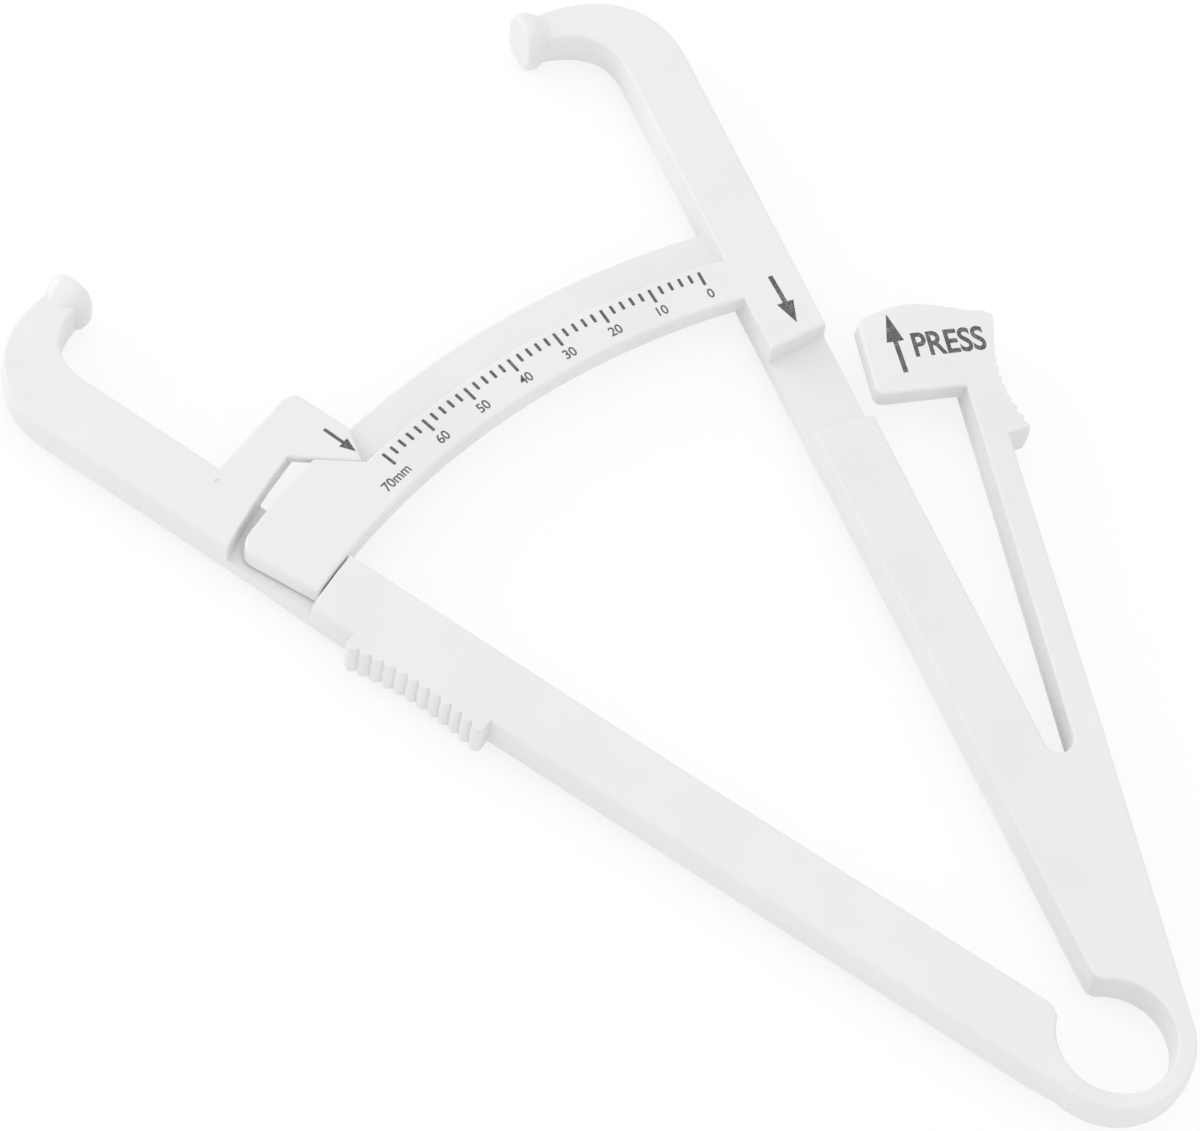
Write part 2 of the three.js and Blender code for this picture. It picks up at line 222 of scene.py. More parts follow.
# %% [markdown]
# ## Leaning walls and the parting ridge
# A moulding has small traits that a sawn plate lacks. Its walls lean inwards from the level where the two
# halves of the mould meet, so that it can leave the mould, and at that level a fine ridge runs all round.
#
# Both are made by moving points along the normals of their walls. The lean, and the rounding that comes
# later, take from the shape that is seen from outside, so all walls are first moved out by nearly as much.
# A face that is cut off flat, because the moulding goes on in another piece, stays in its plane.

# %% Draft and parting ridge
OUTWARDS = 0.22
DRAFT = 0.13
RIDGE_PROUD = 0.05
RIDGE_HALF = 0.08
LEVELS_OF_RIDGE = (MIDDLE - RIDGE_HALF, MIDDLE, MIDDLE + RIDGE_HALF)
NEAR = 0.02  # millimetres within which two places count as one
SEAM_REACH = 3  # how far the middle of a cut face may lie from the middle of its seam
SAME_WAY = 0.999  # cosine above which two directions count as one
SAME_WALL = 0.9995
WALL_TILT = 0.3  # a wall's normal has less of the upright direction in it than this
LEAST_STRETCH = 0.35  # keeps sharp corners from being pushed out too far


def is_seam(face, seams):
    """True for a face that is cut off flat because the moulding goes on in another piece."""
    centre = face.calc_center_median()
    for point, direction in seams:
        offset = Vector((centre.x - point[0], centre.y - point[1], 0))
        way = Vector((direction[0], direction[1], 0))
        is_close = abs(offset.dot(way)) < NEAR and offset.length < SEAM_REACH
        if is_close and abs(face.normal.dot(way)) > SAME_WAY:
            return True
    return False


def wall_normals(vertex, seams):
    """The directions of the different walls that meet in a point."""
    normals = []
    for face in vertex.link_faces:
        if abs(face.normal.z) > WALL_TILT or is_seam(face, seams):
            continue
        if all(face.normal.dot(known) < SAME_WALL for known in normals):
            normals.append(face.normal.copy())
    return normals


def lean_walls(shape, seams):
    """Moves the walls out, leans them by the draft and leaves the ridge proud."""
    moves = {}
    for vertex in shape.verts:
        normals = wall_normals(vertex, seams)
        if not normals:
            continue
        away = sum(normals, Vector()).normalized()
        stretch = max(LEAST_STRETCH, sum(away.dot(n) for n in normals) / len(normals))
        height = abs(vertex.co.z - MIDDLE)
        proud = RIDGE_PROUD if height < 0.001 else -DRAFT * height / MIDDLE
        moves[vertex] = away * ((OUTWARDS + proud) / stretch)
    for vertex, move in moves.items():
        vertex.co += move


print("walls lean by", round(math.degrees(math.atan(DRAFT / MIDDLE)), 1), "degrees")

# %% [markdown]
# ## Rounded edges
# The outer edges of a moulding are rounded, more than its inner corners. The rounding could be drawn into
# each outline, but the Bevel modifier with a weight per edge follows any shape, so it is used here.
#
# An edge beside a short one gets a smaller weight, or its rounding would run past the short edge's far end.
# Edges that run on into each other share the smallest weight, which keeps the rounding's width even.

# %% Edges that run on, and the room beside them
ROUNDING = 0.42
IN_LINE = 0.8  # cosine above which one edge runs on into another


def way_of(edge):
    return (edge.verts[1].co - edge.verts[0].co).normalized()


def in_line(edge, other):
    return abs(way_of(edge).dot(way_of(other))) > IN_LINE


def neighbours(edge):
    return [other for vertex in edge.verts for other in vertex.link_edges if other is not edge]


def room_beside(edge):
    """The length of the shortest edge that leaves either end of this one sideways."""
    sideways = [other.calc_length() for other in neighbours(edge) if not in_line(edge, other)]
    return min(sideways, default=ROUNDING)


def even_out(weights):
    """Gives every edge of a smooth run the smallest weight in that run."""
    waiting = set(weights)
    while waiting:
        run = [waiting.pop()]
        for edge in run:
            for other in neighbours(edge):
                runs_on = in_line(edge, other) and edge.is_convex == other.is_convex
                if other in waiting and runs_on:
                    waiting.remove(other)
                    run.append(other)
        smallest = min(weights[edge] for edge in run)
        for edge in run:
            weights[edge] = smallest


print("edges are rounded by up to", ROUNDING, "mm")

# %% Weights for the rounding
CORNER = math.radians(35)  # an edge that bends less is left as it is
SHARE_OF_ROOM = 0.45  # of the edge beside it, at most, goes into a rounding
INNER_SHARE = 0.4
RIB_SHARE = 0.3


def at_parting(level):
    """True by the ridge, and at the underside of the upper members, where the edges stay sharp."""
    return abs(level - MIDDLE) < RIDGE_HALF + NEAR or abs(level - UPPER_BOTTOM) < NEAR


def weigh_edges(shape, seams, ribbed):
    """Gives each corner edge its weight; ribbed says where the fine parts of an outline are."""
    layer = shape.edges.layers.float.new("bevel_weight_edge")
    weights = {}
    for edge in shape.edges:
        if len(edge.link_faces) != 2 or edge.calc_face_angle(0) < CORNER:
            continue
        if any(is_seam(face, seams) for face in edge.link_faces):
            continue
        ends = [vertex.co.z for vertex in edge.verts]
        upright = abs(ends[0] - ends[1]) > NEAR
        if not upright and at_parting(ends[0]):
            continue
        middle = (edge.verts[0].co + edge.verts[1].co) / 2
        if ribbed(middle.x, middle.y):
            wanted = 0.0 if upright else RIB_SHARE
        else:
            wanted = 1.0 if edge.is_convex else INNER_SHARE
        weights[edge] = min(wanted, SHARE_OF_ROOM * room_beside(edge) / ROUNDING)
    even_out(weights)
    for edge, weight in weights.items():
        edge[layer] = weight


print("inner corners are rounded by up to", round(INNER_SHARE * ROUNDING, 2), "mm")

# %% [markdown]
# ## From plates to a finished moulding
# Every moulding goes through the same steps. Stray points are welded and flat faces cleared of needless
# edges. The mesh is cut at the ridge's levels, its walls are leant and its edges weighed and rounded. A
# piece that has to bend is then sliced across. Last, the normals of the large flat faces are kept steady,
# and the piece is moved from the drawing to the frame.

# %% Finishing a moulding
WELD = 0.01
FINE_WELD = 0.002
FLAT = math.radians(0.5)
CREASE = math.radians(24)
ROUNDING_STEPS = 4


def shade(shape):
    """Smooth surfaces, with sharp edges only where two faces meet at a clear angle."""
    for face in shape.faces:
        face.smooth = True
    for edge in shape.edges:
        bend = edge.calc_face_angle(0) if len(edge.link_faces) == 2 else 0
        edge.smooth = bend < CREASE


def slice_across(shape, point, direction):
    everything = shape.verts[:] + shape.edges[:] + shape.faces[:]
    bmesh.ops.bisect_plane(shape, geom=everything, plane_co=point, plane_no=direction)


def steady_and_place(piece):
    """Lets large faces rule the normals, works that in, and moves the piece to the frame."""
    piece.modifiers.new("steady normals", "WEIGHTED_NORMAL").keep_sharp = True
    work_in(piece)
    piece.data.transform(to_frame)
    print(piece.name, len(piece.data.polygons), "faces")


def finish_moulding(piece, name, seams=(), ribbed=lambda x, y: False, slices=()):
    piece.name = name
    shape = bmesh.new()
    shape.from_mesh(piece.data)
    bmesh.ops.remove_doubles(shape, verts=shape.verts, dist=WELD)
    bmesh.ops.dissolve_limit(shape, angle_limit=FLAT, verts=shape.verts, edges=shape.edges)
    for level in LEVELS_OF_RIDGE:
        slice_across(shape, (0, 0, level), (0, 0, 1))
    shape.normal_update()
    lean_walls(shape, seams)
    shape.normal_update()
    weigh_edges(shape, seams, ribbed)
    shape.to_mesh(piece.data)
    shape.free()

    rounding = piece.modifiers.new("rounded edges", "BEVEL")
    rounding.limit_method = "WEIGHT"
    rounding.width = ROUNDING
    rounding.segments = ROUNDING_STEPS
    rounding.use_clamp_overlap = False
    work_in(piece)

    shape = bmesh.new()
    shape.from_mesh(piece.data)
    bmesh.ops.remove_doubles(shape, verts=shape.verts, dist=FINE_WELD)
    for point, direction in slices:
        slice_across(shape, (*point, 0), (*direction, 0))
    shape.normal_update()
    shade(shape)
    shape.to_mesh(piece.data)
    shape.free()
    steady_and_place(piece)


# %% [markdown]
# ## The hook of a jaw
# At its far end each arm bends inwards, tapers to half its width and ends inside a knobbed contact pad. Both
# hooks have one outline, mirrored, so one function draws it for either arm from the angle of its pad.

# %% Hooks
INTO_PAD = 1.4
SCALE_JAW_R = 159.5
SCALE_PAD_ANGLE = 77.97
INDEX_JAW_R = 160.4
INDEX_PAD_ANGLE = SCALE_PAD_ANGLE + 26.0
HOOK_BACK = 139.5  # station where the arm's outer line begins to turn
NECK_NEAR = -2.2  # the hook's end inside the pad, measured from the pad's middle away from the hinge
NECK_FAR = 1.35


def inside_pad(jaw_r, angle, side, offset):
    """A point of the hook's end, which is hidden in the pad."""
    x, y = polar(jaw_r + offset, angle)
    dx, dy = polar(INTO_PAD, angle - side * 90)
    return (x + dx, y + dy)


def hook(on, inner, outer, jaw_r, angle, side):
    """The hook's outline, from the arm's inner line round to its outer line."""
    inner_start = on(HOOK_START, inner)
    inner_end = inside_pad(jaw_r, angle, side, NECK_NEAR)
    outer_start = inside_pad(jaw_r, angle, side, NECK_FAR)
    outer_end = on(HOOK_BACK, outer)
    return [
        inner_start,
        *curve(inner_start, on(145.6, inner), on(148.1, inner - 3.4), inner_end, 14),
        outer_start,
        *curve(outer_start, on(153.8, -2.6), on(152, outer), outer_end, 18),
    ]


print("the pads stand", SCALE_JAW_R, "and", INDEX_JAW_R, "mm from the hinge")

# %% [markdown]
# ## The scale arm
# The scale arm grows out of a wide heel, which also carries the press lever and one end of the ring. Half
# way up it drops to less than half its thickness: the head of the lever slides over that seat. The scale is
# a curved track that stands off the arm, in the upper half of the thickness, so that the other arm can pass
# below it. Its outer part is a lower ledge for the pointer, and it ends in a wide stop tab.

# %% Scale arm: outline and seat
RING_CENTRE = (-1.5, 1.2)
RING_HOLE_R = 7.3
RING_OUT_R = 9.4
RING_MIDDLE_R = (RING_HOLE_R + RING_OUT_R) / 2
RING_LEFT_END = 195.0
RING_RIGHT_END = 335.0
LEVER_WIDTH = 3.4
FOOT_SPREAD = 0.38
SLOT_START = 29.4
SLOT_FLOOR = -4.2
SEAT_START = 79.7
SEAT_END = (92.6, 94.9)  # beyond the arm's inner side and beyond its outer side
BESIDE = 2  # how far the tool reaches past the arm

slot_left = on_scale_arm(SLOT_START, ARM_WIDTH)
slot_right = on_lever(-1.5, LEVER_WIDTH)
scale_arm = plate([
    on_scale_arm(0.4, 0),
    *hook(on_scale_arm, -0.2, ARM_WIDTH, SCALE_JAW_R, SCALE_PAD_ANGLE, 1),
    slot_left,
    *curve(slot_left, on_lever(SLOT_FLOOR, 6.6), on_lever(SLOT_FLOOR, 3.8), slot_right, 10),
    on_lever(0, LEVER_WIDTH),
    on_lever(0, -FOOT_SPREAD),
    polar(RING_OUT_R, RING_RIGHT_END, RING_CENTRE),
    *arc(RING_HOLE_R, RING_RIGHT_END - 360, 60, RING_CENTRE, 5),
    on_scale_arm(-0.3, 0.15),
])
seat_tool = plate(
    [
        on_scale_arm(SEAT_START, -BESIDE),
        on_scale_arm(SEAT_END[0], -BESIDE),
        on_scale_arm(SEAT_END[1], ARM_WIDTH + BESIDE),
        on_scale_arm(SEAT_START, ARM_WIDTH + BESIDE),
    ],
    LOWER_TOP,
    ABOVE_ALL,
)
cut(scale_arm, seat_tool)
print("the seat is", LOWER_TOP, "mm thick")

# %% Scale arm: track, ledge and stop tab
SCALE_IN_R = 110.3
BAND_OUT_R = 116.5
SCALE_OUT_R = 121.6
PAST_SCALE_R = 126
LEDGE_CENTRE = (0.7, 0.23)  # of the ledge's outer edge, a little off the hinge
TRACK_START = 72.5  # inside the scale arm
TAB_START = 104.5
TAB_END = 111.75
SHOULDER_HIGH = (-30.3, 118.15)
SHOULDER_LOW = (-31.85, 119.26)

track = plate(
    [
        *arc(SCALE_OUT_R, TRACK_START, TAB_START - 0.6, LEDGE_CENTRE),
        *arc(SCALE_OUT_R, TAB_START, TAB_END - 1.4),
        *curve(
            polar(SCALE_OUT_R, TAB_END - 1.4),
            polar(SCALE_OUT_R, TAB_END - 0.5),
            polar(SCALE_OUT_R - 0.6, TAB_END),
            polar(SCALE_OUT_R - 2.2, TAB_END),
            7,
        ),
        *arc(SCALE_IN_R, TAB_END, TRACK_START),
    ],
    UPPER_BOTTOM,
)
ledge_tool = plate(
    [*arc(BAND_OUT_R, 72, 102.3), SHOULDER_HIGH, SHOULDER_LOW, *arc(PAST_SCALE_R, 104, 72)],
    LEDGE_TOP,
    ABOVE_ALL,
)
cut(track, ledge_tool)
add(scale_arm, track)
ring_right_seam = (polar(RING_MIDDLE_R, RING_RIGHT_END, RING_CENTRE), polar(1, RING_RIGHT_END + 90))
lever_seam = (on_lever(0, LEVER_WIDTH / 2), polar(1, 90 - LEVER_TILT))
finish_moulding(scale_arm, "scale_arm_moulding", seams=(ring_right_seam, lever_seam))

# %% [markdown]
# ## The index arm
# The other arm mirrors the first, without heel or lever. Twelve upright ribs on its outer side stop the
# fingers from slipping. Where it passes below the scale it drops to a thin bridge, and beyond the scale a
# bracket reaches over the gap and sends a thin pointer back over the ledge. The small pit beside the bracket
# is where the plastic came into the mould.
#
# The ribs are drawn into the outline as a wave, because they run through the whole thickness.

# %% Index arm: ribbed grip
GRIP_START = 73.2
GRIP_HEIGHT = 1.65
GRIP_HOLLOW = 1.05
GRIP_RIBS = 12
GRIP_PITCH = 1.64
GRIP_END = GRIP_START + GRIP_RIBS * GRIP_PITCH
GRIP_RIB = 0.62
RIB_FULLNESS = 0.9  # below 1 the ribs are rounder than a plain wave


def wave(count, steps=8):
    """Places along a row of ribs, counted in ribs, each with its share of a rib's height."""
    places = []
    for i in range(count * steps + 1):
        places.append((i / steps, abs(math.sin(math.pi * i / steps)) ** RIB_FULLNESS))
    return places


def station_on(member, x, y):
    """The way back from a point to its s and w on a member."""
    origin = Vector(member(0, 0))
    here = Vector((x, y)) - origin
    along = Vector(member(1, 0)) - origin
    across = Vector(member(0, 1)) - origin
    return here.dot(along), here.dot(across)


def finger_line(rib):
    """How far out the feet of the ribs lie: the row is hollowed for the fingers."""
    from_middle = 2 * rib / GRIP_RIBS - 1
    return INDEX_WIDTH + GRIP_HEIGHT - GRIP_HOLLOW * (1 - from_middle ** 2)


finger_ribs = [
    on_index_arm(GRIP_START + GRIP_PITCH * rib, finger_line(rib) + GRIP_RIB * height)
    for rib, height in wave(GRIP_RIBS)
]
print(len(finger_ribs), "points draw the finger ribs")

# %% Index arm: outline
index_arm = plate([
    on_index_arm(0.4, 0),
    on_index_arm(50, 0.1),
    on_index_arm(99, -0.25),
    on_index_upper(113, 0),
    *hook(on_index_upper, 0, INDEX_WIDTH + 0.1, INDEX_JAW_R, INDEX_PAD_ANGLE, -1),
    on_index_upper(108, INDEX_WIDTH),
    on_index_arm(97, INDEX_WIDTH),
    on_index_arm(GRIP_END, INDEX_WIDTH),
    *finger_ribs[::-1],
    on_index_arm(GRIP_START, INDEX_WIDTH),
    on_index_arm(-3, INDEX_WIDTH),
    *arc(RING_OUT_R, 186, RING_LEFT_END, RING_CENTRE, 3),
    *arc(RING_HOLE_R, RING_LEFT_END, 123.8, RING_CENTRE, 5),
    on_index_arm(-0.4, 0.15),
])
print("the index arm is", INDEX_WIDTH, "mm wide")

# %% Index arm: bracket and pointer
BRACKET_CENTRE = (13.9, 0.0)  # of the bracket's curved inner side
BRACKET_IN_R = 128.7
BRACKET_LEFT = (-27.5, 127.1)
BRACKET_DIP = (-26.72, 126.95)
BRACKET_RIGHT = (-25.95, 126.7)
BRACKET_LOW = (-23.6, 119.0)
POINTER_TIP = (-25.25, 114.35)
POINTER_HEEL = (-31.95, 119.7)

bracket = plate(
    [
        on_index_upper(112.2, 4),
        *arc(BRACKET_IN_R - 0.6, 114.3, 111.3, BRACKET_CENTRE),
        POINTER_HEEL,
        POINTER_TIP,
        BRACKET_LOW,
        BRACKET_RIGHT,
        BRACKET_DIP,
        BRACKET_LEFT,
        on_index_upper(119.6, 0),
        on_index_upper(120.8, 4),
    ],
    UPPER_BOTTOM,
)
add(index_arm, bracket)
print("the bracket is", round(THICKNESS - UPPER_BOTTOM, 2), "mm thick")

# %% Index arm: bridge, underside of the pointer, and gate
BEAM_END_R = 109.8
BELOW_HEEL = (-32.6, 118.6)
GATE_SPOT = (-41.6, 122.0)
GATE_R = 0.22
GATE_DEPTH = 0.2

scale_passage = plate(
    [
        *arc(BEAM_END_R, 106, 118),
        *arc(BRACKET_IN_R, 122, 111.1, BRACKET_CENTRE),
        POINTER_HEEL,
        BELOW_HEEL,
    ],
    LOWER_TOP,
    ABOVE_ALL,
)
cut(index_arm, scale_passage)
under_pointer = plate(
    [*arc(BRACKET_IN_R, 111.6, 104.5, BRACKET_CENTRE), (-17, 110), (-33.4, 110)],
    BELOW_ALL,
    POINTER_BOTTOM,
)
cut(index_arm, under_pointer)
# moving all walls out narrows the pit, so it is cut wider by as much
gate = plate(arc(GATE_R + OUTWARDS, 0, 330, GATE_SPOT, 30), THICKNESS - GATE_DEPTH, ABOVE_ALL)
cut(index_arm, gate)
print("the bridge is", LOWER_TOP, "mm thick, the pointer", round(THICKNESS - POINTER_BOTTOM, 2))


# %% Index arm: the finished moulding
def on_finger_ribs(x, y):
    s, w = station_on(on_index_arm, x, y)
    return GRIP_START + 0.1 < s < GRIP_END - 0.1 and w > INDEX_WIDTH + 0.4


ring_left_seam = (polar(RING_MIDDLE_R, RING_LEFT_END, RING_CENTRE), polar(1, RING_LEFT_END + 90))
finish_moulding(index_arm, "index_arm_moulding", seams=(ring_left_seam,), ribbed=on_finger_ribs)

# %% [markdown]
# ## The hinge ring
# The two arms are joined by a thin open ring, a living hinge: it bends all along its length when the jaws
# close. It is a piece of its own here because it has to follow both arms. It starts and ends flush with
# them, and its edges have the same rounding, so no seam shows.

# %% Hinge ring
ring = plate([
    *arc(RING_OUT_R, RING_LEFT_END, RING_RIGHT_END, RING_CENTRE, 4),
    *arc(RING_HOLE_R, RING_RIGHT_END, RING_LEFT_END, RING_CENTRE, 4),
])
finish_moulding(ring, "hinge_ring_moulding", seams=(ring_left_seam, ring_right_seam))

# %% [markdown]
# ## The press lever
# A slim blade rises from the heel beside the scale arm. It ends in a neck with seven thumb ribs on its outer
# edge, a small catch below them and, on the inner side, a thin head that slides over the seat of the scale
# arm. Pressing until the two printed arrows meet gives every measurement the same force.
#
# The blade is sliced across every two millimetres so that it can bend over its lower part.

# %% Press lever: thumb edge
THUMB_START = 43.65
THUMB_RIBS = 7
THUMB_PITCH = 1.5
THUMB_END = THUMB_START + THUMB_RIBS * THUMB_PITCH
THUMB_RIB = 0.45
HOLLOW_STATION = 51.5
HOLLOW_REACH = 7.1
HOLLOW_DEPTH = 1.3
HOLLOW_PROUD = 0.75  # what the hollow's deepest place still stands out


def thumb_line(s):
    """How far inwards the feet of the thumb ribs lie: the row is hollowed for the thumb."""
    return -HOLLOW_PROUD - HOLLOW_DEPTH * ((s - HOLLOW_STATION) / HOLLOW_REACH) ** 2


thumb_ribs = []
for rib, height in wave(THUMB_RIBS):
    station = THUMB_START + THUMB_PITCH * rib
    thumb_ribs.append(on_lever(station, thumb_line(station) - THUMB_RIB * height))
print(len(thumb_ribs), "points draw the thumb ribs")

# %% Press lever: blade, neck and head
HEAD_LOW = 50.0
HEAD_SIDE = 15.2
CATCH_TOP = 43.25
CATCH_FOOT = 42.2

head_near = on_lever(62.2, LEVER_WIDTH)
head_far_top = on_lever(62.0, 13.6)
head_corner = on_lever(59.9, HEAD_SIDE)
head_far_low = on_lever(51.4, HEAD_SIDE)
head_end = on_lever(HEAD_LOW, 14.1)
lever = plate([
    on_lever(0, -FOOT_SPREAD),
    on_lever(0, LEVER_WIDTH),
    on_lever(HEAD_LOW, LEVER_WIDTH),
    head_end,
    *curve(head_end, on_lever(HEAD_LOW, 14.9), on_lever(50.5, HEAD_SIDE), head_far_low, 5),
    *curve(head_corner, on_lever(61.2, HEAD_SIDE), on_lever(61.6, 14.8), head_far_top, 6),
    *curve(head_far_top, on_lever(63.7, 9.2), on_lever(63.3, 6.9), head_near, 10),
    on_lever(61.9, 2.3),
    on_lever(61.2, 0.1),
    on_lever(60.9, -1.7),
    on_lever(60.4, -2.4),
    on_lever(59.6, -2.5),
    on_lever(54.3, -1.3),
    *thumb_ribs[::-1],
    on_lever(CATCH_TOP, -2.85),
    on_lever(42.8, -2.95),
    on_lever(CATCH_FOOT, 0),
])
under_head = plate(
    [on_lever(HEAD_LOW, LEVER_WIDTH), on_lever(66, LEVER_WIDTH), on_lever(66, 19), on_lever(47, 19)],
    BELOW_ALL,
    UPPER_BOTTOM,
)
cut(lever, under_head)
print("the press head is", round(THICKNESS - UPPER_BOTTOM, 2), "mm thick")

# %% Press lever: the finished moulding
BLADE_BEND = 38  # how far up the lever the blade bends
SLICE = 2


def on_fine_parts(x, y):
    """True on the thumb ribs and at the corner between the head and the neck."""
    s, inwards = station_on(on_lever, x, y)
    on_ribs = CATCH_FOOT + 0.4 < s < THUMB_END + 0.1 and inwards < 0.2
    at_head_corner = abs(s - HEAD_LOW) < 0.5 and abs(inwards - LEVER_WIDTH) < 0.5
    return on_ribs or at_head_corner


blade_slices = [(on_lever(s, 0), lever_seam[1]) for s in range(SLICE, BLADE_BEND + 1, SLICE)]
finish_moulding(
    lever, "press_lever_moulding", seams=(lever_seam,), ribbed=on_fine_parts, slices=blade_slices
)

# %% [markdown]
# ## The contact pads
# Each jaw ends in a knob whose flat face meets the skin. Seen from the other jaw it is a squared-off circle,
# taller than it is wide. It has a soft rim, and behind its widest part a skirt tapers into the hook.
# Sections of one shape, each with its own size and depth, are joined one behind the other.

# %% Contact pads
PAD_HALF_HEIGHT = 3.95
PAD_HALF_WIDTH = 3.2
PAD_SQUARENESS = 2.8
PAD_SECTIONS = (
    (0.83, 0.0), (0.87, 0.05), (0.92, 0.18), (0.97, 0.42), (1.0, 0.8), (1.0, 1.3), (0.985, 1.7),
    (0.95, 2.05), (0.89, 2.45), (0.81, 2.95), (0.73, 3.5), (0.66, 4.1), (0.55, 4.9),
)
PAD_STEPS = 72


def square_off(share):
    return math.copysign(abs(share) ** (2 / PAD_SQUARENESS), share)


def contact_pad(name, jaw_r, angle, side):
    shape = bmesh.new()
    facing = Matrix.Translation((*polar(jaw_r, angle), MIDDLE))
    facing = facing @ Matrix.Rotation(math.radians(angle - side * 90), 4, "Z")
    rings = []
    for size, depth in PAD_SECTIONS:
        turns = [math.tau * i / PAD_STEPS for i in range(PAD_STEPS)]
        rings.append([
            shape.verts.new(facing @ Vector((
                depth,
                size * PAD_HALF_WIDTH * square_off(math.cos(t)),
                size * PAD_HALF_HEIGHT * square_off(math.sin(t)),
            )))
            for t in turns
        ])
    for front, back in zip(rings, rings[1:]):
        for i in range(PAD_STEPS):
            j = (i + 1) % PAD_STEPS
            shape.faces.new((front[i], front[j], back[j], back[i]))
    shape.faces.new(rings[0][::-1])
    shape.faces.new(rings[-1])
    bmesh.ops.recalc_face_normals(shape, faces=shape.faces)
    shade(shape)
    pad = piece_from(shape, name)
    steady_and_place(pad)
    return pad


scale_pad = contact_pad("scale_jaw_pad_moulding", SCALE_JAW_R, SCALE_PAD_ANGLE, 1)
index_pad = contact_pad("index_jaw_pad_moulding", INDEX_JAW_R, INDEX_PAD_ANGLE, -1)

# %% [markdown]
# ## Printed marks
# The marks on the caliper are pad-printed ink, a film far thinner than a hair. An image would do for a flat
# print, but real geometry stays crisp at any distance, so every tick, numeral and arrow is a thin plate that
# sits on the plastic. The numerals come from the built-in font, scaled to their measured height.

# %% Ink: plates, strokes and arrows
INK_HEIGHT = 0.02
SURFACE = THICKNESS - 0.004  # a little below the top, so that no gap is left below the ink
NIP = 0.22  # how much a stroke's corners are taken off along it, as a share of its width
NIP_END = 0.56  # what is left of its end


def ink_plate(shape, outline):
    prism(shape, outline, SURFACE, SURFACE + INK_HEIGHT)


def stroke(start, end, width):
    """A short straight mark with its corners taken off."""
    along = (Vector(end) - Vector(start)).normalized()
    across = Vector((-along.y, along.x)) * (width / 2)
    nip = along * (width * NIP)
    inner = across * NIP_END
    a, b = Vector(start), Vector(end)
    corners = (a + inner, a + across + nip, b + across - nip, b + inner,
               b - inner, b - across - nip, a - across + nip, a - inner)
    return [tuple(p) for p in corners]


def arrow(tail, tip, head_length, head_width, shaft_width):
    """An arrow with a three-cornered head."""
    along = (Vector(tip) - Vector(tail)).normalized()
    across = Vector((-along.y, along.x))
    neck = Vector(tip) - along * head_length
    half, wide = across * (shaft_width / 2), across * (head_width / 2)
    corners = (Vector(tail) + half, neck + half, neck + wide, Vector(tip),
               neck - wide, neck - half, Vector(tail) - half)
    return [tuple(p) for p in corners]


print("the ink stands", round(SURFACE + INK_HEIGHT - THICKNESS, 3), "mm proud")


# %% Ink: words, and a finished print
def letter(shape, words, middle, up, height, width=1.0, weight=0.0):
    """Sets words in the built-in font with their middle at a point, their tops towards the angle up."""
    text = bpy.data.curves.new("words", "FONT")
    text.body = words
    text.offset = weight
    text.extrude = 0.5
    holder = bpy.data.objects.new("words", text)
    bpy.context.scene.collection.objects.link(holder)
    bpy.context.view_layer.update()
    depsgraph = bpy.context.evaluated_depsgraph_get()
    mesh = bpy.data.meshes.new_from_object(holder.evaluated_get(depsgraph))
    low = [min(v.co[axis] for v in mesh.vertices) for axis in (0, 1)]
    high = [max(v.co[axis] for v in mesh.vertices) for axis in (0, 1)]
    size = height / (high[1] - low[1])
    centring = Matrix.Translation((-(low[0] + high[0]) / 2, -(low[1] + high[1]) / 2, 0))
    scaling = Matrix.Diagonal((size * width, size, INK_HEIGHT, 1))
    placing = Matrix.Translation((*middle, SURFACE + INK_HEIGHT / 2))
    placing = placing @ Matrix.Rotation(math.radians(up - 90), 4, "Z")
    mesh.transform(placing @ scaling @ centring)
    shape.from_mesh(mesh)
    bpy.data.objects.remove(holder)
    bpy.data.meshes.remove(mesh)
    return (high[0] - low[0]) * size * width


def print_piece(shape, name):
    """Turns the ink that has been gathered into a piece in the frame."""
    bmesh.ops.recalc_face_normals(shape, faces=shape.faces)
    piece = piece_from(shape, name)
    piece.data.transform(to_frame)
    print(name, len(piece.data.polygons), "faces")
    return piece


# %% [markdown]
# ## The millimetre scale
# One tick stands for two millimetres between the pads, from 0 to 70, and every fifth tick is longer and has
# its number below. The ticks are radii of the hinge axis, so a loop places them by their angle alone.

# %% Ticks and numerals
ZERO_ANGLE = 76.17
TICK_ANGLE = 0.7166
TICKS = 36
TICK_TOP_R = 115.8
LONG_FOOT_R = 113.65
SHORT_FOOT_R = 114.48
TICK_WIDTH = 0.42
NUMERAL_R = 112.3
NUMERAL_SHIFT = -0.05  # the numbers stand a hair to the right of their ticks
NUMERAL_LOOK = (1.4, 0.95, 0.012)  # height, width and weight
UNIT_ANGLE = 102.0

scale_ink = bmesh.new()
for tick in range(TICKS):
    angle = ZERO_ANGLE + TICK_ANGLE * tick
    foot_r = LONG_FOOT_R if tick % 5 == 0 else SHORT_FOOT_R
    ink_plate(scale_ink, stroke(polar(foot_r, angle), polar(TICK_TOP_R, angle), TICK_WIDTH))
for step in range(7):
    angle = ZERO_ANGLE + TICK_ANGLE * 5 * step + NUMERAL_SHIFT
    letter(scale_ink, str(10 * step), polar(NUMERAL_R, angle), angle, *NUMERAL_LOOK)
unit_width = letter(scale_ink, "70mm", polar(NUMERAL_R, UNIT_ANGLE), UNIT_ANGLE, *NUMERAL_LOOK)
print("70mm is", round(unit_width, 2), "mm wide")
scale_print = print_piece(scale_ink, "scale_print")

# %% [markdown]
# ## Arrows and the word on the head
# A fixed arrow on the scale arm and one on the press head point at each other. A smaller one on the bracket
# leads to the tip of the pointer. The head also carries the word that says what the thumb does there.

